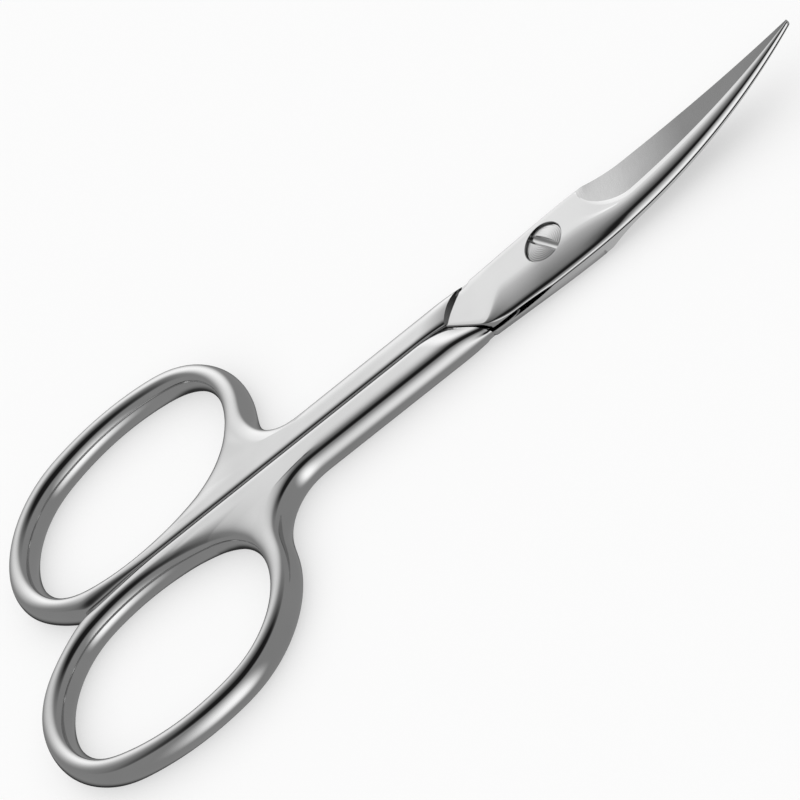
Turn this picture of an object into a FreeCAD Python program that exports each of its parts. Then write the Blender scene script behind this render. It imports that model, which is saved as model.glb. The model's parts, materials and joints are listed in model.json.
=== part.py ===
import FreeCAD, Part
import math
import os

# Cuticle scissors with curved blades: two polished steel halves that turn on one slotted screw.
# All lengths are millimetres. X runs from the finger rings to the tip and Z is the pivot's direction.
# The closed scissors lie on Z = 0, and the origin is under the middle of their box.

# Overall sizes
overall_length = 97.5
blade_reach = 31.0          # pivot axis to tip
pivot_offset = 0.8          # the screw stands this far to the side of the front half's ring

# Finger rings
ring_length = 31.6          # outside, along the ring
ring_reach = 22.3           # middle line to the outside of a ring
ring_sink = 1.65            # the outer oval passes the middle line by this much and is cut off there
ring_tilt = 1.7             # degrees that a ring's near end leans outwards
ring_outer_share = 0.96     # end radius of the oval's outer half, as a share of its half width
ring_inner_share = 0.745    # the same for the half towards the middle line
far_band = 2.75             # ring width at the far end
near_band = 2.85             # ring width beside the web
side_band = 2.45            # ring width at the outside
inner_band = 2.05           # middle line to the finger hole
hole_tilt = 3.0             # degrees
hole_end_share = 0.92       # end radius of the finger hole, as a share of its half width

# Handles
handle_thickness = 3.2
handle_edge_radius = 1.15
shank_width = 3.38          # middle line to the outside of a shank
web_radius = 5.0            # hollow between ring and shank
handle_gap = 0.14           # between the closed halves
groove_break = 0.3          # broken edges beside the middle line
edge_limit_share = 0.48     # largest edge radius, as a share of the wall that carries it

# Joint
joint_width = 3.62          # middle line to the outside of the joint where the blades begin
leaf_thickness = 1.0        # each half at the joint
leaf_gap = 0.1              # between the two leaves and between the two blades
step_reach = 12.2           # pivot axis to the point of the V-shaped step
step_length = 4.0           # length of the V along the scissors
step_bow = 0.75             # bulge of the curved arm of the V
lap_clearance = 0.2         # between a leaf's slanted end and the other half's shank
corner_run = 1.1            # length of the rounded corner of a leaf's slanted end, along each side
corner_bow_share = 0.4      # depth of that rounding, from its chord to the corner
leaf_round = 0.8            # rounded shoulder along the spine at the joint
leaf_break = 0.25           # rounded edge along the other side
relief_reach = 5.0          # pivot axis to the middle of the hollow in the inner face
relief_length = 7.0
relief_depth = 0.25

# Blades
blade_start = 2.2           # pivot axis to where the sides begin to taper
bend_margin = 0.2           # the leaves stay flat this far past the joint's half width
tip_width = 0.6
tip_rise = 4.2              # the blades curve upwards by this much at the tip
tip_thickness = 0.25        # each blade
tip_round = 0.12            # spine shoulder at the tip
heel_land = 0.3             # thickness left at the heel of the cutting edge
edge_land = 0.05            # thickness left at its tip
bevel_slope_share = 0.2     # fall of the ground face for each unit of blade width
bevel_root = 10.0           # pivot axis to the deep end of the grinding run-out
bevel_middle_share = 0.45   # middle station of the ground face, from the run-out to the tip
runout_radius = 16.0
runout_angle = 40.0         # degrees

# Screw
head_diameter = 4.1
head_thickness = 0.5
head_break = 0.08           # broken edge around the head
head_recess = 0.05          # head face below the front face
head_clearance = 0.05       # around the head
slot_width = 0.75
slot_depth = 0.33
slot_angle = -55.0          # degrees from X
neck_diameter = 2.4         # plain part that the front half turns on
neck_clearance = 0.04       # radial
thread_diameter = 2.0       # part held in the rear half
end_recess = 0.05           # screw end above the back face

overrun = 5.0               # cutting bodies pass the part by this much

half_thickness = handle_thickness / 2
half_gap = handle_gap / 2
leaf_inner = leaf_gap / 2
leaf_outer = leaf_inner + leaf_thickness
bend_start = joint_width + pivot_offset + bend_margin
ring_far = blade_reach - overall_length
step_end = step_length - step_reach
head_top = leaf_outer - head_recess
head_seat = head_top - head_thickness
pivot = FreeCAD.Vector(0, pivot_offset, 0)
up = FreeCAD.Vector(0, 0, 1)


def vec(x, y, z=0.0):
    return FreeCAD.Vector(x, y, z)


def arc(start, middle, end):
    return Part.Arc(start, middle, end).toShape()


def polygon(points):
    return Part.Face(Part.makePolygon(points + points[:1]))


def face(edges):
    return Part.Face(Part.Wire(edges))


def slab(plan, low, high):
    return plan.translated(up * low).extrude(up * (high - low))


# Drop of a circular arc that leaves a straight line at run 0 and has fallen by end_drop at end_run
def arc_drop(run, end_run, end_drop):
    radius = (end_run**2 + end_drop**2) / (2 * end_drop)
    return radius - math.sqrt(radius**2 - run**2)


# Half of an oval, above its long axis: a side arc between two end arcs, from the far end to the near end
def half_oval(along, across, end_share):
    end_radius = abs(across) * end_share
    end_run = along - end_radius
    side_radius = (end_run**2 + across**2 - end_radius**2) / (2 * (abs(across) - end_radius))
    lean = math.atan2(side_radius - abs(across), end_run)
    turn = lean / 2
    flip = math.copysign(1, across)
    join = vec(end_run + end_radius * math.cos(lean), flip * end_radius * math.sin(lean))
    bend = vec(end_run + end_radius * math.cos(turn), flip * end_radius * math.sin(turn))
    far_join = vec(-join.x, join.y)
    far_bend = vec(-bend.x, bend.y)
    return [
        arc(vec(-along, 0), far_bend, far_join),
        arc(far_join, vec(0, across), join),
        arc(join, bend, vec(along, 0)),
    ]


# Oval with its own end shares on the outer and inner side
def oval(length, width, outer_share, inner_share, centre, tilt):
    along = length / 2
    across = width / 2
    inner_side = half_oval(along, -across, inner_share)
    plan = face(half_oval(along, across, outer_share) + inner_side[::-1])
    plan.rotate(vec(0, 0), up, tilt)
    return plan.translated(centre)


# Ring, web and shank of the front half, with rounded edges
def handle():
    ring_width = ring_reach + ring_sink
    ring_centre = vec(ring_far + ring_length / 2, ring_reach - ring_width / 2)
    hole_length = ring_length - far_band - near_band
    hole_width = ring_reach - side_band - inner_band
    hole_centre = vec(ring_far + far_band + hole_length / 2, inner_band + hole_width / 2)
    ring_plan = oval(ring_length, ring_width, ring_outer_share, ring_inner_share, ring_centre, ring_tilt)
    hole_plan = oval(hole_length, hole_width, hole_end_share, hole_end_share, hole_centre, hole_tilt)
    thinnest_wall = ring_plan.OuterWire.distToShape(hole_plan.OuterWire)[0]

    shank_corner = vec(ring_centre.x, 0, -half_thickness)
    shank = Part.makeBox(step_end - ring_centre.x, shank_width, handle_thickness, shank_corner)
    other_corner = vec(ring_far, half_gap - ring_reach, -half_thickness)
    other_half = Part.makeBox(overall_length, ring_reach, handle_thickness, other_corner)
    body = slab(ring_plan, -half_thickness, half_thickness).fuse(shank).cut(other_half).removeSplitter()
    body = body.makeFillet(web_radius, [e for e in body.Edges if is_web_corner(e)])
    body = body.cut(slab(hole_plan, -half_thickness, half_thickness))
    radius = min(handle_edge_radius, edge_limit_share * thinnest_wall, edge_limit_share * handle_thickness)
    return soften(body, radius)


# Rounds the grip edges with three narrow faces each, which lie on a circle of the given radius
def soften(body, radius):
    corner_cut = radius * (2 - math.sqrt(2))
    side_cut = radius * (math.tan(math.pi / 8) - math.tan(math.pi / 16))
    body = body.makeChamfer(corner_cut, [e for e in body.Edges if is_grip_edge(e, half_thickness)])
    levels = (half_thickness, half_thickness - corner_cut)
    body = body.makeChamfer(side_cut, [e for e in body.Edges if any(is_grip_edge(e, z) for z in levels)])
    return body.makeChamfer(groove_break, [e for e in body.Edges if is_groove_edge(e)])


# The upright edge where the ring runs into the outside of the shank
def is_web_corner(edge):
    middle = edge.CenterOfMass
    upright = edge.BoundBox.ZLength > half_thickness
    return upright and middle.x < -step_reach and abs(middle.y - shank_width) < half_gap


# Level edges at a height above or below the middle plane, apart from those on the middle line and at the joint
def is_grip_edge(edge, height):
    middle = edge.CenterOfMass
    level = edge.BoundBox.ZLength < leaf_gap and abs(abs(middle.z) - height) < leaf_gap
    return level and middle.y > handle_gap and middle.x < step_end - half_gap


# Level edges along the middle line
def is_groove_edge(edge):
    middle = edge.CenterOfMass
    level = edge.BoundBox.ZLength < leaf_gap and abs(abs(middle.z) - half_thickness) < leaf_gap
    return level and middle.y < handle_gap and edge.BoundBox.XLength > shank_width


# The handle with its V-shaped step on the outside face and its half-lap on the inside face
def stepped_handle():
    start = vec(-step_reach, 0)
    end = vec(step_end, shank_width)
    outwards = vec(-shank_width, step_length).normalize()
    bow = (start + end) / 2 + outwards * step_bow
    corner = vec(step_end, 0)
    step = face([arc(start, bow, end), Part.makeLine(end, corner), Part.makeLine(corner, start)])
    skew = step_length / shank_width
    far = shank_width + overrun
    lap = polygon([
        vec(-step_reach - lap_clearance - overrun * skew, -overrun),
        vec(-step_reach - lap_clearance + far * skew, far),
        vec(far * skew, far),
        vec(far * skew, -overrun),
    ])
    body = handle().cut(slab(step, leaf_outer, handle_thickness))
    return body.cut(slab(lap, -handle_thickness, leaf_inner))


# Half width of the joint at a distance along the scissors
def joint_half_width(x):
    return joint_width - arc_drop(blade_start - x, blade_start - step_end, joint_width - shank_width)


# Half width of a blade at a distance along the scissors
def blade_half_width(x):
    return joint_width - arc_drop(x - blade_start, blade_reach - blade_start, joint_width - tip_width / 2)


# Plan of a half's leaf and blade. The front half's slanted end and spine are on the low Y side.
def leaf_plan(side):
    def point(x, y):
        return vec(x, side * y)

    start = point(-step_reach, half_gap)
    corner = point(step_end, -shank_width)
    slant_end = corner + (start - corner).normalize() * corner_run
    spine_start = point(step_end + corner_run, -joint_half_width(step_end + corner_run))
    corner_middle = (slant_end + spine_start) / 2
    corner_bow = corner_middle + (corner - corner_middle) * corner_bow_share
    swell_x = (step_end + blade_start) / 2
    taper_x = (blade_start + blade_reach) / 2
    swell = joint_half_width(swell_x)
    taper = blade_half_width(taper_x)
    spine_root = point(blade_start, -joint_width)
    edge_root = point(blade_start, joint_width)
    spine_tip = point(blade_reach, -tip_width / 2)
    edge_tip = point(blade_reach, tip_width / 2)
    back = point(step_end, shank_width)
    return face([
        Part.makeLine(start, slant_end),
        arc(slant_end, corner_bow, spine_start),
        arc(spine_start, point(swell_x, -swell), spine_root),
        arc(spine_root, point(taper_x, -taper), spine_tip),
        Part.makeLine(spine_tip, edge_tip),
        arc(edge_tip, point(taper_x, taper), edge_root),
        arc(edge_root, point(swell_x, swell), back),
        Part.makeLine(back, start),
    ])


# Height of a curved plate face at a distance from the pivot axis
def plate_height(distance, flat_height, rise):
    if distance < bend_start:
        return flat_height
    return flat_height + arc_drop(distance - bend_start, blade_reach - bend_start, rise)


# Plate that is flat around the pivot and then curves upwards, as a turned form about the pivot axis
def curved_plate(side):
    inner = side * leaf_inner
    outer = side * leaf_outer
    outer_rise = inner + tip_rise + side * tip_thickness - outer
    end = blade_reach + tip_width
    middle = (bend_start + end) / 2

    def rim(distance, flat_height, rise):
        return vec(distance, 0, plate_height(distance, flat_height, rise))

    profile = face([
        Part.makeLine(vec(0, 0, outer), vec(0, 0, inner)),
        Part.makeLine(vec(0, 0, inner), vec(bend_start, 0, inner)),
        arc(vec(bend_start, 0, inner), rim(middle, inner, tip_rise), rim(end, inner, tip_rise)),
        Part.makeLine(rim(end, inner, tip_rise), rim(end, outer, outer_rise)),
        arc(rim(end, outer, outer_rise), rim(middle, outer, outer_rise), vec(bend_start, 0, outer)),
        Part.makeLine(vec(bend_start, 0, outer), vec(0, 0, outer)),
    ])
    profile.rotate(vec(0, 0), up, -90)
    turned = profile.revolve(vec(0, 0), up, 180).translated(pivot)
    low = min(inner, outer)
    flat = Part.makeBox(step_reach, 2 * bend_start, leaf_thickness, vec(-step_reach, -bend_start, low))
    return turned.fuse(flat)


# Grinding body that leaves the sloped face of a blade, with a round run-out at its root
def bevel_cutter(side):
    def station(x):
        half_width = blade_half_width(x)
        distance = math.hypot(x, half_width - pivot_offset)
        land = heel_land + (edge_land - heel_land) * (x - bevel_root) / (blade_reach - bevel_root)
        edge_height = plate_height(distance, side * leaf_inner, tip_rise) + side * land
        return vec(x, side * joint_width, edge_height - side * bevel_slope_share * (joint_width - half_width))

    root = station(bevel_root)
    middle = station(bevel_root + bevel_middle_share * (blade_reach - bevel_root))
    tip = station(blade_reach)
    ground = Part.Arc(root, middle, tip)
    tangent = ground.tangent(ground.FirstParameter)[0]
    inwards = vec(-tangent.z, 0, tangent.x) * side
    centre = root + inwards * runout_radius

    def runout(angle):
        turn = math.radians(angle)
        return centre - inwards * runout_radius * math.cos(turn) - tangent * runout_radius * math.sin(turn)

    start = runout(runout_angle)
    run = Part.Arc(start, runout(runout_angle / 2), root)
    past = tip + ground.tangent(ground.LastParameter)[0] * overrun
    height = side * (tip_rise + overrun)
    top_right = vec(past.x, past.y, height)
    top_left = vec(start.x, start.y, height)
    profile = face([
        run.toShape(), ground.toShape(), Part.makeLine(tip, past), Part.makeLine(past, top_right),
        Part.makeLine(top_right, top_left), Part.makeLine(top_left, start),
    ])
    sweep = vec(0, -side, side * bevel_slope_share)
    return profile.translated(sweep * -overrun).extrude(sweep * (2 * joint_width + 2 * overrun))


# Leaf and blade of one half, with rounded outer edges and the ground face
def blade(side):
    body = slab(leaf_plan(side), -handle_thickness, tip_rise + handle_thickness)
    body = body.common(curved_plate(side)).removeSplitter()
    spine = [e for e in body.Edges if is_outer_edge(e, side, -side)]
    body = body.makeFillet(leaf_round, tip_round, spine)
    edge = [e for e in body.Edges if is_outer_edge(e, side, side)]
    body = body.makeFillet(leaf_break, edge)
    return body.cut(bevel_cutter(side)).cut(relief(side))


# The joint's edge along one side of a leaf's outer face, which leads on to the edge of the blade
def is_outer_edge(edge, side, flank):
    middle = edge.CenterOfMass
    flat = edge.BoundBox.ZLength < leaf_inner and abs(middle.z - side * leaf_outer) < leaf_inner
    along = edge.BoundBox.XLength > joint_width and edge.BoundBox.YLength < joint_width / 2
    return flat and along and middle.y * flank > shank_width / 2


# Round hollow across the inner face behind the pivot
def relief(side):
    radius = (relief_length**2 / 4 + relief_depth**2) / (2 * relief_depth)
    height = side * (leaf_inner + relief_depth - radius)
    start = vec(-relief_reach, -joint_width - overrun, height)
    return Part.makeCylinder(radius, 2 * (joint_width + overrun), start, vec(0, 1))


# Round bar or bore on the pivot axis
def post(diameter, low, high):
    return Part.makeCylinder(diameter / 2, high - low, pivot + up * low)


def front_half():
    body = stepped_handle().fuse(blade(1)).removeSplitter()
    recess = post(head_diameter + 2 * head_clearance, head_seat - head_clearance, leaf_outer + overrun)
    bore = post(neck_diameter + 2 * neck_clearance, leaf_inner - overrun, leaf_outer + overrun)
    return body.cut(recess).cut(bore)


def rear_half():
    body = stepped_handle()
    body.rotate(vec(0, 0), vec(1, 0), 180)
    body = body.fuse(blade(-1)).removeSplitter()
    return body.cut(post(thread_diameter, -leaf_outer - overrun, overrun))


# Slotted screw: its neck carries the front half and its threaded end stays in the rear half
def pivot_screw():
    head = post(head_diameter, head_seat, head_top)
    rim = [e for e in head.Edges if e.BoundBox.ZMin > head_seat + head_break]
    head = head.makeChamfer(head_break, rim)
    neck = post(neck_diameter, -leaf_inner, head_seat)
    end = post(thread_diameter, end_recess - leaf_outer, -leaf_inner)
    slot_corner = vec(-head_diameter, -slot_width / 2, head_top - slot_depth)
    slot = Part.makeBox(2 * head_diameter, slot_width, slot_depth + overrun, slot_corner)
    slot.rotate(vec(0, 0), up, slot_angle)
    return head.fuse(neck).fuse(end).removeSplitter().cut(slot.translated(pivot))


pieces = {"front_half": front_half(), "rear_half": rear_half(), "pivot_screw": pivot_screw()}
box = Part.makeCompound(list(pieces.values())).optimalBoundingBox(False, False)
rest_point = vec(box.Center.x, box.Center.y, box.ZMin)
os.makedirs("parts", exist_ok=True)
for name, shape in pieces.items():
    shape = shape.translated(-rest_point)
    shape.exportStep("parts/" + name + ".step")
    print(name, shape.isValid(), len(shape.Solids), round(shape.Volume, 2), "mm3")
print("pivot at", pivot - rest_point)
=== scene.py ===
import bmesh
import bpy
import json
import math
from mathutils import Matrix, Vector


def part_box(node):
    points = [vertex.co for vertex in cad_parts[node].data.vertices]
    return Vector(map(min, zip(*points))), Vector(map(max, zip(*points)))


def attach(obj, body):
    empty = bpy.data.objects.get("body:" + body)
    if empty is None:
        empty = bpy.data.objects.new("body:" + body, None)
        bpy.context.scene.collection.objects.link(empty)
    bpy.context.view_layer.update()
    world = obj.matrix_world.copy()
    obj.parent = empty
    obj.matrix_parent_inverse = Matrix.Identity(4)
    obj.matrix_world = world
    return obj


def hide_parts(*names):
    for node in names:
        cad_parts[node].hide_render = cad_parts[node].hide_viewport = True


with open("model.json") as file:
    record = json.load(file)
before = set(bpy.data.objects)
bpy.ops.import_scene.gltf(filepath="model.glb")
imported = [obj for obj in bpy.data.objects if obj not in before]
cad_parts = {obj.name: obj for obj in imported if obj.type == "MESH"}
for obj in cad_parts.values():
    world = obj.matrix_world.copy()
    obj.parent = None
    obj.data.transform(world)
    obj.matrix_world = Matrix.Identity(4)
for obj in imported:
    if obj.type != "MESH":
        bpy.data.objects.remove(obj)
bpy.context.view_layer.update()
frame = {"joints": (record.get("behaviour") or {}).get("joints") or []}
mm = 0.001
sameSpot = 0.01 * mm  # places nearer than this are one
pivotX, pivotY, midZ = frame["joints"][0]["pos_m"]
frontLow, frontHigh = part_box("front_half")
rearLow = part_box("rear_half")[0]
tipReach = (frontHigh.x - pivotX) / mm  # pivot axis to the tip
ringEnd = (frontLow.x - pivotX) / mm  # pivot axis to the far end of the rings
ringReach = frontHigh.y / mm  # middle line to the outside of a ring
halfThick = (midZ - rearLow.z) / mm
pivotSide = pivotY / mm
print("frame loaded, tip", round(tipReach, 2), "ring end", round(ringEnd, 2))


# Places are in millimetres: x from the pivot axis, y from the middle line, z from the middle plane
def at(x, y, z=0.0):
    return Vector((pivotX + x * mm, y * mm, midZ + z * mm))


def smooth(value):
    share = min(1.0, max(0.0, value))
    return share * share * (3 - 2 * share)


def blend(low, high, share):
    return low + (high - low) * share


def clearSelection():
    bpy.ops.object.select_all(action="DESELECT")


def moveSelected(rule):
    cage = bmesh.from_edit_mesh(bpy.context.edit_object.data)
    for v in cage.verts:
        if v.select:
            v.co = rule(v.co)
    bmesh.update_edit_mesh(bpy.context.edit_object.data)


# Sends each point of one loop to its partner on the next
def follow(before, after):
    def rule(place):
        nearest = min(range(len(before)), key=lambda i: (before[i] - place).length_squared)
        return after[nearest]
    return rule


def selectEdges(rule):
    bpy.ops.mesh.select_all(action="DESELECT")
    cage = bmesh.from_edit_mesh(bpy.context.edit_object.data)
    for edge in cage.edges:
        edge.select_set(rule(edge))
    bmesh.update_edit_mesh(bpy.context.edit_object.data)


def onPlaces(edge, places):
    return all(min((v.co - place).length for place in places) < sameSpot for v in edge.verts)


def openEdit():
    bpy.ops.object.mode_set(mode="EDIT")
    bpy.ops.mesh.select_mode(type="VERT")
    bpy.ops.mesh.select_all(action="SELECT")


def closeEdit():
    bpy.ops.mesh.select_all(action="SELECT")
    bpy.ops.mesh.normals_make_consistent(inside=False)
    bpy.ops.object.mode_set(mode="OBJECT")


# A closed body drawn through loops that all have the same number of points
def drawThrough(name, loops):
    clearSelection()
    bpy.ops.mesh.primitive_circle_add(vertices=len(loops[0]), radius=mm, fill_type="NGON")
    piece = bpy.context.object
    piece.name = name
    for v, place in zip(piece.data.vertices, loops[0]):
        v.co = place
    openEdit()
    for before, after in zip(loops, loops[1:]):
        bpy.ops.mesh.extrude_region_move()
        moveSelected(follow(before, after))
    closeEdit()
    return piece


def applyModifier(piece, kind, **settings):
    clearSelection()
    bpy.context.view_layer.objects.active = piece
    piece.select_set(True)
    bpy.ops.object.modifier_add(type=kind)
    modifier = piece.modifiers[-1]
    for key, value in settings.items():
        setattr(modifier, key, value)
    bpy.ops.object.modifier_apply(modifier=modifier.name)


def cutWith(piece, tool, operation="DIFFERENCE"):
    applyModifier(piece, "BOOLEAN", object=tool, operation=operation, solver="EXACT")
    bpy.data.objects.remove(tool)


def prism(name, plan, low, high):
    return drawThrough(name, [[at(x, y, z) for x, y in plan] for z in (low, high)])


def joinValues(tree, operation, first, second):
    node = tree.nodes.new("ShaderNodeMath")
    node.operation = operation
    for socket, value in zip(node.inputs, (first, second)):
        if isinstance(value, (int, float)):
            socket.default_value = value
        else:
            tree.links.new(value, socket)
    return node.outputs["Value"]


def splitVector(tree, vector):
    node = tree.nodes.new("ShaderNodeSeparateXYZ")
    tree.links.new(vector, node.inputs["Vector"])
    return node.outputs


# Limits are from low, from high, to low and to high
def mapRange(tree, value, limits, kind="LINEAR"):
    node = tree.nodes.new("ShaderNodeMapRange")
    node.interpolation_type = kind
    for socket, limit in zip(("From Min", "From Max", "To Min", "To Max"), limits):
        node.inputs[socket].default_value = limit
    tree.links.new(value, node.inputs["Value"])
    return node.outputs["Result"]


# Steel with fine marks: stretch gives marks per metre along each axis, rough and shade the range that
# they vary in, depth the marks' depth in mm. A fade is painted shade: it darkens the base colour along the
# blade towards the tip, in place of the ground face reflecting less light there. It gives where the
# darkening starts and ends, in mm from the pivot axis, and the share of the colour that is left.
steelSet = {
    "polished": {"stretch": (300, 2600, 2600), "rough": (0.06, 0.12), "shade": (0.6, 0.64),
                 "depth": 0.0004},
    # the ground finish's fade is painted shade, darker towards the blade's tip
    "ground": {"stretch": (14000, 900, 2000), "rough": (0.2, 0.28), "shade": (0.5, 0.55),
               "depth": 0.0005, "fade": (5, 17, 0.36)},
    "turned": {"stretch": (2500, 2500, 2500), "rough": (0.1, 0.18), "shade": (0.5, 0.57),
               "depth": 0.0006},
    "markDetail": 3, "cloudScale": 160, "noiseRange": (0.3, 0.7),
}


def steel(name):
    s = steelSet[name]
    material = bpy.data.materials.new(name + "Steel")
    material.use_nodes = True
    tree = material.node_tree
    shader = tree.nodes["Principled BSDF"]
    shader.inputs["Metallic"].default_value = 1
    place = tree.nodes.new("ShaderNodeTexCoord").outputs["Object"]
    spread = tree.nodes.new("ShaderNodeMapping")
    spread.inputs["Scale"].default_value = s["stretch"]
    tree.links.new(place, spread.inputs["Vector"])
    marks = tree.nodes.new("ShaderNodeTexNoise")
    marks.inputs["Scale"].default_value = 1
    marks.inputs["Detail"].default_value = steelSet["markDetail"]
    tree.links.new(spread.outputs["Vector"], marks.inputs["Vector"])
    cloud = tree.nodes.new("ShaderNodeTexNoise")
    cloud.inputs["Scale"].default_value = steelSet["cloudScale"]
    tree.links.new(place, cloud.inputs["Vector"])
    rough = mapRange(tree, marks.outputs["Fac"], steelSet["noiseRange"] + s["rough"])
    tree.links.new(rough, shader.inputs["Roughness"])
    shade = mapRange(tree, cloud.outputs["Fac"], steelSet["noiseRange"] + s["shade"])
    # painted shade: the base colour darkens along the blade towards the tip
    if "fade" in s:
        start, end, left = s["fade"]
        limits = (pivotX + start * mm, pivotX + end * mm, 1, left)
        shade = joinValues(tree, "MULTIPLY", shade, mapRange(tree, splitVector(tree, place)["X"], limits))
    tree.links.new(shade, shader.inputs["Base Color"])
    bump = tree.nodes.new("ShaderNodeBump")
    bump.inputs["Strength"].default_value = 1
    bump.inputs["Distance"].default_value = s["depth"] * mm
    tree.links.new(marks.outputs["Fac"], bump.inputs["Height"])
    tree.links.new(bump.outputs["Normal"], shader.inputs["Normal"])
    return material


polished = steel("polished")
ground = steel("ground")
turned = steel("turned")


def giveFinishes(piece, finishes):
    for finish in finishes:
        piece.data.materials.append(finish)


# Ring, web and shank of one half. A section gives how far in its face starts, how far in and how high its
# shoulder stands, and how high its face is.
handleSet = {
    "ringLength": 31.6, "ringSink": 1.65, "ringTilt": 1.7, "ringShares": (0.96, 0.745),
    "farBand": 2.75, "nearBand": 2.85, "sideBand": 2.45, "innerBand": 2.05,
    "holeTilt": 3.0, "holeShare": 0.92,
    "shankWidth": 3.38, "webRadius": 5.0, "gap": 0.04, "shankStart": -28.8, "shankEnd": -5.5,
    "midStations": 22, "webStations": 7, "ringStations": 40, "shankStations": 16, "levels": 3,
    "ringSection": (0.62, 0.3, 1.15, 1.47), "shankSection": (0.65, 0.28, 1.2, 1.5),
    "grooveSection": (0.16, 0.0, 1.3, 1.6), "notchSection": (0.75, 0.1, 0.9, 1.5),
    "webSection": (0.8, 0.2, 1.0, 1.6),
    "levelShares": (-1, -0.5, 0, 0.5, 1),  # heights of the cage's levels on the flat face
    "notchLean": 0.35, "notchParts": 3, "notchSearch": (181, 269), "searchSteps": 40,
    "hollowBlend": 0.2, "ringParts": 5,
    "webFan": (316, 328),  # turns of the hole's rim that face the end of the shank
    "webReach": 3.0,  # a wider band between hole and outline counts as web
    "rowIn": (0.6, 1.0), "rowParts": 3, "rowBlend": 4, "endRow": 0.6,
    "lapRoll": (0.6, 2.3), "stepRoll": (0.25, 2.4), "rollSoft": 0.9,
}
ringWidth = ringReach + handleSet["ringSink"]
ringCentre = (ringEnd + handleSet["ringLength"] / 2, ringReach - ringWidth / 2)
holeLength = handleSet["ringLength"] - handleSet["farBand"] - handleSet["nearBand"]
holeWidth = ringReach - handleSet["sideBand"] - handleSet["innerBand"]
holeCentre = (ringEnd + handleSet["farBand"] + holeLength / 2, handleSet["innerBand"] + holeWidth / 2)


def leanBy(v, lean):
    along, across = math.cos(lean), math.sin(lean)
    return Vector((v.x * along - v.y * across, v.x * across + v.y * along))


# Point of an oval of arcs on the ray that leaves its centre at a turn, with its outward normal
def ovalPoint(turn, along, across, shares, centre, tilt):
    lean = math.radians(tilt)
    ray = Vector((math.cos(turn - lean), math.sin(turn - lean)))
    share = shares[0] if ray.y >= 0 else shares[1]
    endRadius = across * share
    endRun = along - endRadius
    sideRadius = (endRun**2 + across**2 - endRadius**2) / (2 * (across - endRadius))
    joint = math.atan2(sideRadius - across, endRun)
    join = Vector((endRun + endRadius * math.cos(joint), endRadius * math.sin(joint)))
    if abs(ray.y) * join.x < abs(ray.x) * join.y:
        arcCentre, radius = Vector((math.copysign(endRun, ray.x), 0)), endRadius
    else:
        arcCentre, radius = Vector((0, -math.copysign(sideRadius - across, ray.y))), sideRadius
    middle = ray.dot(arcCentre)
    place = ray * (middle + math.sqrt(middle**2 - arcCentre.length_squared + radius**2))
    normal = (place - arcCentre).normalized()
    return leanBy(place, lean) + Vector(centre), leanBy(normal, lean)


def ringPoint(turn):
    return ovalPoint(turn, handleSet["ringLength"] / 2, ringWidth / 2, handleSet["ringShares"],
                     ringCentre, handleSet["ringTilt"])


def holePoint(turn):
    shares = (handleSet["holeShare"], handleSet["holeShare"])
    return ovalPoint(turn, holeLength / 2, holeWidth / 2, shares, holeCentre, handleSet["holeTilt"])


# Turn at which the ring's outside crosses the middle line, at its far end
def notchTurn():
    low, high = (math.radians(turn) for turn in handleSet["notchSearch"])
    for step in range(handleSet["searchSteps"]):
        middle = (low + high) / 2
        if ringPoint(middle)[0].y > handleSet["gap"]:
            low = middle
        else:
            high = middle
    return low


def blendSection(first, second, share):
    return tuple(blend(low, high, share) for low, high in zip(first, second))


# Outline of the half, once round from the notch: place, outward normal and section
def outlineStations():
    s = handleSet
    notch = notchTurn()
    corner = ringPoint(notch)[0]
    stations = []
    for i in range(s["midStations"] + 1):
        share = i / s["midStations"]
        place = Vector((blend(corner.x, s["shankStart"], share), s["gap"]))
        normal = Vector((-s["notchLean"] * (i == 0), -1)).normalized()
        section = blendSection(s["grooveSection"], s["notchSection"], smooth(1 - share * s["notchParts"]))
        stations.append((place, normal, section))
    inner, outer = s["grooveSection"][0], s["shankSection"][0]
    middle = Vector((s["shankStart"], (s["gap"] + inner + s["shankWidth"] - outer) / 2))
    stations.append((middle, Vector((0, 0)), (0, 0, 0, halfThick)))
    stations.append((Vector((s["shankStart"], s["shankWidth"])), Vector((0, 1)), s["shankSection"]))
    lean = math.radians(s["ringTilt"])
    endRadius = ringWidth / 2 * s["ringShares"][1]
    endRun = s["ringLength"] / 2 - endRadius
    endCentre = Vector(ringCentre) + Vector((math.cos(lean), math.sin(lean))) * endRun
    hollowY = s["shankWidth"] + s["webRadius"]
    hollowX = endCentre.x + math.sqrt((endRadius + s["webRadius"])**2 - (hollowY - endCentre.y)**2)
    hollow = Vector((hollowX, hollowY))
    touch = endCentre + (hollow - endCentre).normalized() * endRadius
    first = -math.pi / 2
    last = math.atan2(touch.y - hollowY, touch.x - hollowX) - 2 * math.pi
    for i in range(s["webStations"]):
        share = i / s["webStations"]
        turn = blend(first, last, share)
        ray = Vector((math.cos(turn), math.sin(turn)))
        section = blendSection(s["shankSection"], s["ringSection"], s["hollowBlend"] * smooth(share))
        stations.append((hollow + ray * s["webRadius"], -ray, section))
    start = math.atan2(touch.y - ringCentre[1], touch.x - ringCentre[0])
    for i in range(s["ringStations"]):
        share = i / s["ringStations"]
        place, normal = ringPoint(blend(start, notch, share))
        onRing = blend(s["hollowBlend"], 1, smooth(share * s["ringParts"]))
        stations.append((place, normal, blendSection(s["shankSection"], s["ringSection"], onRing)))
    return stations


# The five levels of the cage at a station: low face, low shoulder, parting line, high shoulder, high face
def cageLevels(place, normal, section):
    faceIn, shoulderIn, shoulderZ, top = section
    face = place - normal * faceIn
    shoulder = place - normal * shoulderIn
    side = place + normal * shoulderIn / 2  # the smoothed side then passes through the outline
    return [at(face.x, face.y, -top), at(shoulder.x, shoulder.y, -shoulderZ), at(side.x, side.y),
            at(shoulder.x, shoulder.y, shoulderZ), at(face.x, face.y, top)]


# The same levels at a place on the flat face
def flatLevels(place):
    return [Vector((place.x, place.y, midZ + halfThick * mm * share)) for share in handleSet["levelShares"]]


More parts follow.
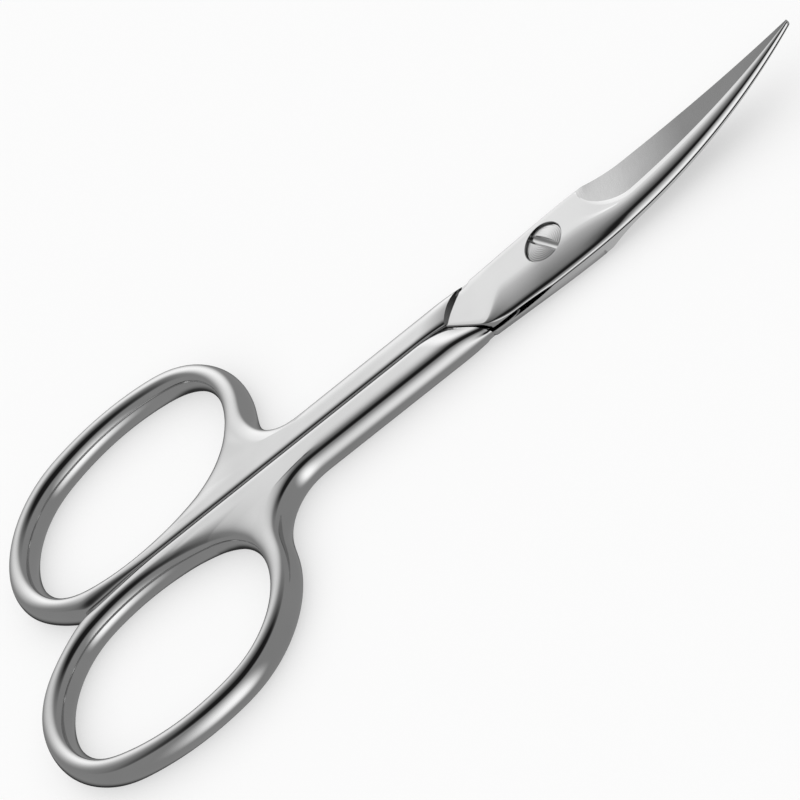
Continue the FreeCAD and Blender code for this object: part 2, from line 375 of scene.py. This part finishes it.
# Turns about the finger hole's centre at which its rim meets the outline's stations
def holeTurns(outer):
    s = handleSet
    places = [station[0] for station in outer]
    turns = [math.atan2(place.y - holeCentre[1], place.x - holeCentre[0]) for place in places]
    fullTurn = 2 * math.pi
    turns = [turns[0] % fullTurn + (turn - turns[0]) % fullTurn for turn in turns]
    shankAt = s["midStations"]
    squeeze = (math.radians(s["webFan"][0]) - turns[0]) / (turns[shankAt] - turns[0])
    for i in range(shankAt + 1):
        turns[i] = turns[0] + (turns[i] - turns[0]) * squeeze
    ringAt = shankAt + 3 + s["webStations"]
    fan = [math.radians(turn) for turn in s["webFan"]] + [turns[ringAt]]
    turns[shankAt + 1] = (fan[0] + fan[1]) / 2
    for i in range(s["webStations"] + 1):
        turns[shankAt + 2 + i] = blend(fan[1], fan[2], i / (s["webStations"] + 1))
    return turns


# The row of the cage beside the outline, on the flat face
def besideOutline(outer, rims, sides):
    s = handleSet
    row = []
    for i, (station, rim, side) in enumerate(zip(outer, rims, sides)):
        reach = blend(*s["rowIn"], smooth((i - s["midStations"] - 2) / s["rowBlend"]))
        step = min((side[0] - rim[0]).length / s["rowParts"], reach * mm)
        row.append(side[0] - station[1].to_3d() * step)
    return row


# The shank rolls down to the lap on its inside, and a little to the step on its outside
def rollShank(piece):
    s, b = handleSet, bladeSet
    skew = b["stepLength"] / s["shankWidth"]
    for v in piece.data.vertices:
        x, y, z = (v.co.x - pivotX) / mm, v.co.y / mm, (v.co.z - midZ) / mm
        behind = (y * skew - b["stepReach"] - b["lapClearance"] - x) / math.hypot(1, skew)
        depth, run = s["lapRoll"] if z < 0 else s["stepRoll"]
        near = min(1.0, max(0.0, 1 - behind / run))
        v.co.z -= math.copysign(depth * near**2 * smooth(abs(z) / s["rollSoft"]), z) * mm


# The cage goes from the hole's rim to the row beside the outline, along the shank, then to the outline
def handleMesh(name):
    s = handleSet
    outer = outlineStations()
    hole = []
    for station, turn in zip(outer, holeTurns(outer)):
        rim, outward = holePoint(turn)
        wide = smooth((station[0] - rim).length / s["webReach"] - 1)
        hole.append((rim, -outward, blendSection(s["ringSection"], s["webSection"], wide)))
    rims = [cageLevels(*station) for station in hole]
    sides = [cageLevels(*station) for station in outer]
    beside = besideOutline(outer, rims, sides)
    between = [blend(rim[0], place, 0.5) for rim, place in zip(rims, beside)]
    lowAt, midAt, highAt = (s["midStations"] + i for i in range(3))
    strip = []
    outline = sides[:midAt] + sides[highAt:]
    border = beside[:midAt] + beside[highAt:]
    for i in range(1, s["shankStations"] + 1):
        run = (s["shankEnd"] - s["shankStart"]) * i / s["shankStations"]
        row = [place + Vector((run * mm, 0, 0)) for place in beside[lowAt:highAt + 1]]
        strip.append(row)
        border += [row[0], row[2]]
        run += s["endRow"] * (i == s["shankStations"])
        for place, normal, section in (outer[lowAt], outer[highAt]):
            outline.append(cageLevels(place + Vector((run, 0)), normal, section))
    border.append(row[1])
    outline.append(cageLevels(outer[midAt][0] + Vector((run, 0)), Vector((1, 0)), s["shankSection"]))
    flats = [flatLevels(place) for place in between + beside + sum(strip, [])]
    lists = [list(level) for level in zip(*(rims + flats + outline))]
    count = len(outer)
    rows = [lists[0][i * count:(i + 1) * count] for i in range(3)]  # rim, between and beside
    clearSelection()
    bpy.ops.mesh.primitive_circle_add(vertices=count, radius=mm, fill_type="NOTHING")
    piece = bpy.context.object
    piece.name = name
    for v, place in zip(piece.data.vertices, rows[0]):
        v.co = place
    openEdit()
    for before, after in zip(rows, rows[1:]):
        bpy.ops.mesh.extrude_region_move()
        moveSelected(follow(before, after))
    bpy.ops.mesh.select_mode(type="EDGE")
    root = rows[2][lowAt:highAt + 1]
    selectEdges(lambda edge: onPlaces(edge, root))
    for row in strip:
        after = [flatLevels(place)[0] for place in row]
        bpy.ops.mesh.extrude_region_move()
        moveSelected(follow(root, after))
        root = after
    selectEdges(lambda edge: edge.is_boundary and not onPlaces(edge, rows[0]))
    bpy.ops.mesh.extrude_region_move()
    moveSelected(follow([flatLevels(place)[0] for place in border], [levels[0] for levels in outline]))
    bpy.ops.mesh.select_mode(type="FACE")
    bpy.ops.mesh.select_all(action="SELECT")
    for before, after in zip(lists, lists[1:]):
        bpy.ops.mesh.extrude_region_move()
        moveSelected(follow(before, after))
    closeEdit()
    applyModifier(piece, "SUBSURF", levels=s["levels"], render_levels=s["levels"])
    rollShank(piece)
    giveFinishes(piece, [polished, ground])
    return piece


# Joint leaf and blade of one half. Tilts give the slope of the shoulder, in degrees, along its length.
bladeSet = {
    "jointWidth": 3.62, "leafInner": 0.05, "leafOuter": 1.05, "bladeStart": 2.2, "bendMargin": 0.2,
    "stepReach": 12.2, "stepLength": 4.0, "stepBow": 0.75, "lapClearance": 0.2,
    "tipWidth": 0.6, "tipThick": 0.25, "tipEnd": (0.85, 0.05),  # share and length of the tip's end
    "shoulderWide": 3.3, "shoulderHigh": 0.92, "shoulderShare": 0.48,
    "jointTilts": ((0, 2), (0.25, 11), (0.76, 21), (0.82, 30), (0.87, 52), (0.9, 62), (1.0, 76)),
    "bladeTilts": ((0, 0), (0.14, 5), (0.42, 18), (0.56, 30), (0.68, 54), (0.73, 62), (1.0, 77)),
    "buried": 3.0, "buriedBlend": 0.8,  # the leaf's edge inside the shank
    "slantRim": 0.14, "slantBlend": (0.4, 3.2), "cornerSoft": 0.9,
    "edgeBreaks": ((0.45, 0.6), (0.12, 0.06)), "breakRun": (-8.0, 4.0),
    "reliefReach": 5.0, "reliefLength": 8.0, "reliefDepth": 0.25,
    "grindStart": 4.7, "grindRoot": 10.0, "grindPower": 1.65, "grindHollow": 16.0, "grindBlend": 0.8,
    "ridgeShare": -0.5, "ridgeGap": 0.02, "ridgeShine": 0.1, "grindFacing": 0.3,
    "heelLand": 0.3, "edgeLand": 0.05,
    "innerSteps": 11, "wallSteps": 4, "shoulderSteps": 26, "faceSteps": 8, "grindSteps": 8,
    "firstStation": -12.1, "stationRuns": ((-6.4, 0.2), (4.4, 0.45), (11.0, 0.2)),  # end and spacing
    "tipRuns": ((0.5, 0.45), (0.08, 0.14)),  # the same, measured from the tip
}
stepEnd = bladeSet["stepLength"] - bladeSet["stepReach"]
bendStart = bladeSet["jointWidth"] + pivotSide + bladeSet["bendMargin"]
tipRise = (frontHigh.z - midZ) / mm - bladeSet["leafInner"] - bladeSet["tipThick"]


def arcDrop(run, endRun, endDrop):
    radius = (endRun**2 + endDrop**2) / (2 * endDrop)
    return radius - math.sqrt(radius**2 - run**2)


def halfWidth(x):
    s = bladeSet
    if x < s["bladeStart"]:
        return s["jointWidth"] - arcDrop(s["bladeStart"] - x, s["bladeStart"] - stepEnd,
                                         s["jointWidth"] - handleSet["shankWidth"])
    return s["jointWidth"] - arcDrop(x - s["bladeStart"], tipReach - s["bladeStart"],
                                     s["jointWidth"] - s["tipWidth"] / 2)


# Heights of the inner and outer face of a blade above a place in plan, before grinding
def plateHeights(x, y, side):
    s = bladeSet
    inner, outer = side * s["leafInner"], side * s["leafOuter"]
    distance = math.hypot(x, y - pivotSide)
    if x > 0 and distance > bendStart:
        run, endRun = distance - bendStart, tipReach - bendStart
        outer += arcDrop(run, endRun, inner + tipRise + side * s["tipThick"] - outer)
        inner += arcDrop(run, endRun, tipRise)
    return inner, outer


# Hollow on the inside of the leaf, which leaves the gap beside the joint
def reliefRise(x):
    s = bladeSet
    radius = (s["reliefLength"]**2 / 4 + s["reliefDepth"]**2) / (2 * s["reliefDepth"])
    return max(0.0, s["reliefDepth"] - (x + s["reliefReach"])**2 / (2 * radius))


# Width and height of the rounding along the edge side
def edgeBreak(x):
    s = bladeSet
    first, last = s["breakRun"]
    return blendSection(*s["edgeBreaks"], smooth((x - first) / (last - first)))


# Where the ground face of the blade begins, from the cutting edge inwards
def ridgeLine(x):
    s = bladeSet
    width = halfWidth(x)
    plain = width - edgeBreak(x)[0]
    if x < s["grindStart"]:
        return plain
    share = min(1.0, max(0.0, (s["grindRoot"] - x) / (s["grindRoot"] - s["grindStart"])))
    sweep = (1 - share ** s["grindPower"]) ** (1 / s["grindPower"])
    return blend(plain, s["ridgeShare"] * width, sweep)


# Thickness that is left at the edge
def edgeLand(x):
    s = bladeSet
    inner, outer = plateHeights(x, halfWidth(x), 1)
    if x < s["grindRoot"]:
        hollow = s["heelLand"] + (s["grindRoot"] - x)**2 / (2 * s["grindHollow"])
        return min(outer - inner - edgeBreak(x)[1], hollow)
    return blend(s["heelLand"], s["edgeLand"], (x - s["grindRoot"]) / (tipReach - s["grindRoot"]))


# Profile of the shoulder as shares of its width and height, from the face down to the wall
def shoulderProfile(tilts):
    count = bladeSet["shoulderSteps"]
    places = [Vector((0, 0))]
    for i in range(count):
        share = (i + 0.5) / count
        for (start, low), (end, high) in zip(tilts, tilts[1:]):
            if start <= share <= end:
                tilt = math.radians(blend(low, high, (share - start) / (end - start)))
        places.append(places[-1] + Vector((math.cos(tilt), math.sin(tilt))))
    return [(place.x / places[-1].x, place.y / places[-1].y) for place in places]


jointShoulder = shoulderProfile(bladeSet["jointTilts"])
bladeShoulder = shoulderProfile(bladeSet["bladeTilts"])


# The slanted back edge of the leaf, which runs softly into its spine
def spineLine(x, width):
    s, h = bladeSet, handleSet
    slant = h["gap"] - (x + s["stepReach"]) * (h["gap"] + h["shankWidth"]) / s["stepLength"]
    return (slant - width + math.sqrt((slant + width)**2 + s["cornerSoft"]**2 / 4)) / 2


# Section of a leaf or blade: inner face, spine wall, shoulder, outer face, ground face and edge
def bladeSection(x, side):
    s = bladeSet
    shape = max(x, stepEnd)
    width = halfWidth(shape)
    edgeY = blend(s["buried"], width, smooth((x - stepEnd) / s["buriedBlend"] + 1))
    spineY = spineLine(x, width)
    before, run = s["slantBlend"]
    atJoint = smooth((x - stepEnd + before) / run)
    onBlade = smooth((x - s["bladeStart"]) / (s["grindRoot"] - s["bladeStart"]))
    inner, outer = plateHeights(x, spineY, side)
    relief = side * reliefRise(x)
    high = blend(s["slantRim"], s["shoulderHigh"] * abs(outer - inner - relief), atJoint)
    wide = blend(s["slantRim"], blend(s["shoulderWide"], s["shoulderShare"] * width, onBlade), atJoint)
    breakWide = edgeBreak(shape)[0] * width / s["jointWidth"]
    ridgeY = min(ridgeLine(shape), edgeY - breakWide)
    shoulderY = min(spineY + wide, ridgeY - s["ridgeGap"] * width)
    points = []
    for i in range(s["innerSteps"] + 1):
        y = blend(edgeY, spineY, i / s["innerSteps"])
        points.append((y, plateHeights(x, y, side)[0] + relief))
    shoulderLow = outer - side * high
    for i in range(1, s["wallSteps"]):
        points.append((spineY, blend(inner + relief, shoulderLow, i / s["wallSteps"])))
    for onLeaf, onEdge in reversed(list(zip(jointShoulder, bladeShoulder))):
        across, down = blendSection(onLeaf, onEdge, onBlade)
        points.append((blend(shoulderY, spineY, across), outer - side * high * down))
    for i in range(1, s["faceSteps"] + 1):
        y = blend(shoulderY, ridgeY, i / s["faceSteps"])
        points.append((y, plateHeights(x, y, side)[1]))
    ridgeZ = points[-1][1]
    edgeInner = plateHeights(x, edgeY, side)[0]
    landZ = edgeInner + side * edgeLand(shape)
    flat = smooth((x - s["grindStart"]) / s["grindBlend"])  # from a rounded edge to a ground face
    for i in range(1, s["grindSteps"] + 1):
        share = i / s["grindSteps"]
        turn = math.pi / 2 * share
        y = blend(blend(ridgeY, edgeY, math.sin(turn)), blend(ridgeY, edgeY, share), flat)
        z = blend(blend(landZ, ridgeZ, math.cos(turn)), blend(ridgeZ, landZ, share), flat)
        points.append((y, z))
    points.append((edgeY, blend(landZ, edgeInner + relief, 0.5)))
    return [at(x, side * y, z) for y, z in points]


def bladeStations():
    s = bladeSet
    stations = [s["firstStation"]]
    for end, step in s["stationRuns"] + tuple((tipReach - rest, step) for rest, step in s["tipRuns"]):
        start = stations[-1]
        count = max(1, round((end - start) / step))
        stations += [start + (end - start) * i / count for i in range(1, count + 1)]
    return stations


# The faces on the ground face get the second finish, apart from a polished line along the ridge. That line
# keeps the lighter polished base colour and none of the painted shade along the blade, so it is partly a
# painted highlight where the ridge rounds over.
def bladeMesh(name, side):
    s = bladeSet
    loops = [bladeSection(x, side) for x in bladeStations()]
    tip = loops[-1]
    middle = sum(tip, Vector()) / len(tip)
    size, length = s["tipEnd"]
    end = [middle + (place - middle) * size + Vector((length * mm, 0, 0)) for place in tip]
    piece = drawThrough(name, loops + [end])
    giveFinishes(piece, [polished, ground])
    for face in piece.data.polygons:
        x, y = (face.center.x - pivotX) / mm, side * face.center.y / mm
        share = (y - ridgeLine(x)) / (halfWidth(x) - ridgeLine(x))
        facing = face.normal.z * side > s["grindFacing"]
        # faces by the ridge stay polished, partly as a painted highlight line
        face.material_index = int(x > s["grindStart"] and share > s["ridgeShine"] and facing)
    return piece


# Cuts for the V-shaped step on the outside of a shank and for the slanted lap on its inside
toolSet = {
    "overlap": 0.12, "high": 4, "stepSteps": 32, "stepExtra": 3, "stepFar": 8,
    "lapSpan": (-2, 6), "lapFar": 12,
}


def stepTool():
    s, t = bladeSet, toolSet
    start = Vector((-s["stepReach"], 0))
    end = Vector((stepEnd, handleSet["shankWidth"]))
    chord = end - start
    outward = Vector((-chord.y, chord.x)).normalized()
    arc = []
    for i in range(-t["stepExtra"], t["stepSteps"] + t["stepExtra"] + 1):
        share = i / t["stepSteps"]
        bow = 4 * share * (1 - share) * s["stepBow"]
        place = start + chord * share + outward * bow
        arc.append((place.x, place.y))
    plan = arc + [(t["stepFar"], arc[-1][1]), (t["stepFar"], arc[0][1])]
    return prism("stepTool", plan, s["leafOuter"] - t["overlap"], t["high"])


def lapTool():
    s, t = bladeSet, toolSet
    skew = s["stepLength"] / handleSet["shankWidth"]
    start = -s["stepReach"] - s["lapClearance"]
    low, high = t["lapSpan"]
    plan = [(start + low * skew, low), (start + high * skew, high), (t["lapFar"], high), (t["lapFar"], low)]
    return prism("lapTool", plan, -t["high"], s["leafInner"] + t["overlap"])


def lathe(name, profile, sides):
    loops = []
    for radius, height in profile:
        turns = [2 * math.pi * i / sides for i in range(sides)]
        loops.append([at(radius * math.cos(t), pivotSide + radius * math.sin(t), height) for t in turns])
    return drawThrough(name, loops)


screwSet = {
    "headRadius": 2.05, "headTop": 1.1, "headThick": 0.6, "headBreak": 0.06, "headDome": 7.5,
    "slotRadius": 0.5, "slotDepth": 0.38, "slotTurn": -55, "slotSides": 48, "slotOver": 1,
    "neckRadius": 1.2, "neckLow": -0.05, "endRadius": 1.0, "endLow": -1.0, "endBreak": 0.1,
    "seatClear": 0.05, "boreClear": 0.04, "boreLow": -1, "rimBreak": 0.1, "rimOver": 1,
    "tapClear": 0.01, "tapSpan": (-3, 1),
    "sides": 128, "ringSteps": 78, "ringPitch": 0.2, "ringDepth": 0.008,
}


def frontHalf():
    s = screwSet
    piece = handleMesh("frontHalf")
    cutWith(piece, stepTool())
    cutWith(piece, lapTool())
    cutWith(piece, bladeMesh("frontBlade", 1), "UNION")
    seat = s["headTop"] - s["headThick"] - s["seatClear"]
    recess = s["headRadius"] + s["seatClear"]
    bore = s["neckRadius"] + s["boreClear"]
    outer = bladeSet["leafOuter"]
    rim = recess + s["rimBreak"]
    profile = [(bore, s["boreLow"]), (bore, seat), (recess, seat), (recess, outer - s["rimBreak"] / 2),
               (rim, outer + s["rimBreak"] / 2), (rim, outer + s["rimOver"])]
    cutWith(piece, lathe("boreTool", profile, s["sides"]))
    return piece


def rearHalf():
    s = screwSet
    piece = handleMesh("rearHalf")
    cutWith(piece, stepTool())
    cutWith(piece, lapTool())
    for v in piece.data.vertices:  # half a turn about the middle line
        v.co = Vector((v.co.x, -v.co.y, 2 * midZ - v.co.z))
    cutWith(piece, bladeMesh("rearBlade", -1), "UNION")
    profile = [(s["endRadius"] + s["tapClear"], height) for height in s["tapSpan"]]
    cutWith(piece, lathe("boreTool", profile, s["sides"]))
    return piece


def slotTool():
    s = screwSet
    turn = math.radians(s["slotTurn"])
    along = Vector((math.cos(turn), math.sin(turn), 0)) * (s["headRadius"] + s["slotOver"]) * mm
    across = Vector((-math.sin(turn), math.cos(turn), 0)) * s["slotRadius"] * mm
    up = Vector((0, 0, s["slotRadius"] * mm))
    centre = at(0, pivotSide, s["headTop"] - s["slotDepth"] + s["slotRadius"])
    turns = [2 * math.pi * i / s["slotSides"] for i in range(s["slotSides"])]
    loops = []
    for end in (-1, 1):
        loops.append([centre + along * end + across * math.cos(t) + up * math.sin(t) for t in turns])
    return drawThrough("slotTool", loops)


def pivotScrew():
    s = screwSet
    seat = s["headTop"] - s["headThick"]
    faceRadius = s["headRadius"] - s["headBreak"]
    rim = s["headTop"] - s["headRadius"]**2 / (2 * s["headDome"])
    profile = [(s["endRadius"] - s["endBreak"], s["endLow"]), (s["endRadius"], s["endLow"] + s["endBreak"]),
               (s["endRadius"], s["neckLow"]), (s["neckRadius"], s["neckLow"]), (s["neckRadius"], seat),
               (s["headRadius"], seat), (s["headRadius"], rim - s["headBreak"])]
    for i in range(s["ringSteps"]):  # fine rings left by turning
        radius = faceRadius * (1 - i / s["ringSteps"])
        wave = 0.5 - 0.5 * math.cos(2 * math.pi * radius / s["ringPitch"])
        profile.append((radius, s["headTop"] - radius**2 / (2 * s["headDome"]) - s["ringDepth"] * wave))
    piece = lathe("pivotScrew", profile, s["sides"])
    giveFinishes(piece, [turned])
    cutWith(piece, slotTool())
    return piece


smoothAngle = 32  # edges that turn by more stay sharp


def finishPiece(piece, body, node):
    clearSelection()
    bpy.context.view_layer.objects.active = piece
    piece.select_set(True)
    bpy.ops.object.shade_smooth_by_angle(angle=math.radians(smoothAngle))
    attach(piece, body)
    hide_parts(node)
    print(piece.name, len(piece.data.polygons), "faces")


finishPiece(frontHalf(), "front", "front_half")
finishPiece(rearHalf(), "rear", "rear_half")
finishPiece(pivotScrew(), "rear", "pivot_screw")

cameraSet = {
    "place": (0.12284, -0.28154, 0.24341), "turn": (36.664, 39.285, -16.404), "lens": 189.6, "sensor": 36,
    "shift": (-0.005, -0.0075), "clip": (0.01, 10),
}
view = bpy.data.cameras.new("camera")
view.sensor_width = cameraSet["sensor"]
view.lens = cameraSet["lens"]
view.shift_x, view.shift_y = cameraSet["shift"]
view.clip_start, view.clip_end = cameraSet["clip"]
camera = bpy.data.objects.new("camera", view)
bpy.context.scene.collection.objects.link(camera)
camera.location = cameraSet["place"]
camera.rotation_euler = [math.radians(t) for t in cameraSet["turn"]]
bpy.context.scene.camera = camera

# Studio: the steel mirrors a grey room with a window of light behind the object, a lit strip in front, a
# dark ceiling and a dark patch low at the back
studioSet = {
    "grey": 0.31, "light": 1.15, "strip": 1.2, "dark": 0.95, "darkEdge": (0.44, 0.62), "under": 0.88,
    "lightPatch": {"azimuth": 102, "elevation": 26, "wide": 0.66, "high": 0.76, "core": 0.0},
    "stripPatch": {"azimuth": -94, "elevation": -13, "wide": 0.6, "high": 0.7, "core": 0.1},
    "darkPatch": {"azimuth": -80, "elevation": 62, "wide": 1.1, "high": 0.95, "core": 0.4},
    "underPatch": {"azimuth": 135, "elevation": -42, "wide": 0.75, "high": 0.5, "core": 0.35},
    "floorColour": 0.45, "floorGlow": 0.53, "floorSize": 12,
    "lampHeight": 1.5, "lampSize": 6, "lampWatts": 96,
}


# Rises softly from 0 at one value to 1 at the other
def softStep(tree, value, none, full):
    limits = (full, none, 1, 0) if none > full else (none, full, 0, 1)
    return mapRange(tree, value, limits, "SMOOTHSTEP")


def rotate(tree, vector, axis, angle):
    node = tree.nodes.new("ShaderNodeVectorRotate")
    node.rotation_type = axis
    node.inputs["Angle"].default_value = math.radians(angle)
    tree.links.new(vector, node.inputs["Vector"])
    return node.outputs["Vector"]


# Soft-edged patch of the room, seen in the direction of an azimuth and an elevation
def roomPatch(tree, direction, patch):
    aside = rotate(tree, direction, "Z_AXIS", -patch["azimuth"])
    parts = splitVector(tree, rotate(tree, aside, "Y_AXIS", patch["elevation"]))
    reach = tree.nodes.new("ShaderNodeCombineXYZ")
    for axis, size in (("Y", patch["wide"]), ("Z", patch["high"])):
        tree.links.new(joinValues(tree, "DIVIDE", parts[axis], size), reach.inputs[axis])
    away = tree.nodes.new("ShaderNodeVectorMath")
    away.operation = "LENGTH"
    tree.links.new(reach.outputs["Vector"], away.inputs[0])
    fade = softStep(tree, away.outputs["Value"], 1, patch["core"])
    return joinValues(tree, "MULTIPLY", fade, joinValues(tree, "GREATER_THAN", parts["X"], 0))


def studioWorld():
    s = studioSet
    world = bpy.data.worlds.new("studio")
    world.use_nodes = True
    tree = world.node_tree
    direction = tree.nodes.new("ShaderNodeTexCoord").outputs["Generated"]
    light = joinValues(tree, "MULTIPLY", roomPatch(tree, direction, s["lightPatch"]), s["light"])
    strip = joinValues(tree, "MULTIPLY", roomPatch(tree, direction, s["stripPatch"]), s["strip"])
    edge = softStep(tree, splitVector(tree, direction)["Z"], *s["darkEdge"])
    dark = joinValues(tree, "MULTIPLY", roomPatch(tree, direction, s["darkPatch"]), edge)
    under = joinValues(tree, "MULTIPLY", roomPatch(tree, direction, s["underPatch"]), s["under"])
    dark = joinValues(tree, "ADD", joinValues(tree, "MULTIPLY", dark, s["dark"]), under)
    room = joinValues(tree, "MULTIPLY", joinValues(tree, "SUBTRACT", 1, dark), s["grey"])
    total = joinValues(tree, "ADD", joinValues(tree, "ADD", room, light), strip)
    tree.links.new(total, tree.nodes["Background"].inputs["Color"])
    bpy.context.scene.world = world


# The glow makes the paper pale to the camera and puts no light on the object
def studioFloor():
    s = studioSet
    clearSelection()
    bpy.ops.mesh.primitive_plane_add(size=s["floorSize"])
    floor = bpy.context.object
    floor.name = "floor"
    paper = bpy.data.materials.new("paper")
    paper.use_nodes = True
    tree = paper.node_tree
    shader = tree.nodes["Principled BSDF"]
    shader.inputs["Base Color"].default_value = (s["floorColour"],) * 3 + (1,)
    shader.inputs["Roughness"].default_value = 1
    shader.inputs["Specular IOR Level"].default_value = 0
    shader.inputs["Emission Color"].default_value = (1, 1, 1, 1)
    path = tree.nodes.new("ShaderNodeLightPath")
    seen = path.outputs["Is Camera Ray"]
    for ray in ("Is Glossy Ray", "Is Transmission Ray"):
        seen = joinValues(tree, "ADD", seen, path.outputs[ray])
    glow = joinValues(tree, "MULTIPLY", seen, s["floorGlow"])
    tree.links.new(glow, shader.inputs["Emission Strength"])
    floor.data.materials.append(paper)
    floor.visible_glossy = False  # the steel mirrors the room, not the paper under it


def studioLamp():
    s = studioSet
    clearSelection()
    bpy.ops.object.light_add(type="AREA", location=(0, 0, s["lampHeight"]))
    lamp = bpy.context.object
    lamp.name = "softLamp"
    lamp.data.size = s["lampSize"]
    lamp.data.energy = s["lampWatts"]
    lamp.visible_glossy = False


studioWorld()
studioFloor()
studioLamp()
print("studio ready")
bpy.context.scene.view_settings.view_transform = "Standard"
